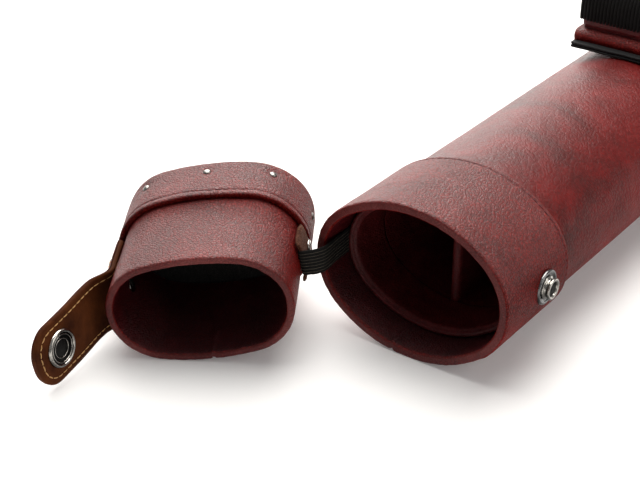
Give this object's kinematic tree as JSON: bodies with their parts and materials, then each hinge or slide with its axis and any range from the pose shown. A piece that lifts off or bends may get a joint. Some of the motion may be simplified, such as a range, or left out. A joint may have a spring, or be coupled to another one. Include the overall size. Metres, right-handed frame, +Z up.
{
  "type": "cue case",
  "caption": "Oval hard case for two-piece cues: open mouth with a collar and two compartments, a cap on an elastic tether, a snap strap and a carrying band.",
  "frame": {"origin": "on the floor below the middle of the mouth, at the front of the collar's flat foot", "axes": "+Y runs back along the tube from the mouth, +X to the side with the snap stud, +Z up"},
  "size_m": [0.2035, 0.8914, 0.112],
  "materials": {
    "leatherette": "semi-gloss leatherette, pebbled grain",
    "lining": "dark satin leatherette",
    "suede": "brown suede",
    "patch": "raw-edged brown leather",
    "board": "pressed board",
    "plug_wood": "plain wood",
    "foam": "felt-faced foam",
    "ribbed": "black ribbed elastic",
    "binding": "black bound edge",
    "nickel": "polished nickel"
  },
  "bodies": {
    "case": {"tube_core": "board", "tube_cover": "leatherette", "collar_core": "board", "collar_cover": "leatherette", "mouth_ring": "lining", "mouth_liner": "lining", "left_liner": "lining", "right_liner": "lining", "divider": "board", "left_end_pad": "foam", "right_end_pad": "foam", "end_plug": "plug_wood", "back_sleeve": "leatherette", "end_cover": "leatherette", "end_tacks": "nickel", "stud_plate": "nickel", "stud_post": "nickel", "stud_rivet": "nickel", "front_saddle": "leatherette", "rear_saddle": "leatherette", "front_binding": "binding", "rear_binding": "binding", "front_keeper": "lining", "rear_keeper": "lining", "handle_webbing": "ribbed", "tether_anchor": "ribbed"},
    "tether": {"tether_elastic": "ribbed"},
    "cap": {"cap_core": "board", "cap_cover": "leatherette", "cap_band": "leatherette", "cap_plug": "plug_wood", "cap_end_lining": "ribbed", "cap_end_cover": "leatherette", "cap_tacks": "nickel", "tether_tail": "ribbed", "tether_patch": "patch", "tether_eyelet": "nickel", "strap_root": "leatherette", "strap_rivets": "nickel"},
    "strap": {"strap_face": "leatherette", "strap_backing": "suede", "snap_cap": "nickel", "snap_socket": "nickel", "snap_spring": "nickel"}
  },
  "joints": [
    {"name": "cap_swing", "type": "hinge", "parent": "case", "child": "tether", "pos_m": [-0.0434, -0.02108, 0.038], "axis": [-0.0711, -0.0562, 0.9959], "range_deg": [-3, 148.43], "deforming": ["tether_elastic"]},
    {"name": "cap_push", "type": "slide", "parent": "tether", "child": "cap", "axis": [0.5288, -0.8461, -0.0665], "range_m": [0, 0.0165], "deforming": ["tether_elastic"]},
    {"name": "strap_fold", "type": "hinge", "parent": "cap", "child": "strap", "pos_m": [-0.11769, -0.06462, 0.02258], "axis": [-0.1017, -0.1409, 0.9848], "range_deg": [-60, 6.34], "deforming": ["strap_face", "strap_backing", "snap_spring"]}
  ]
}
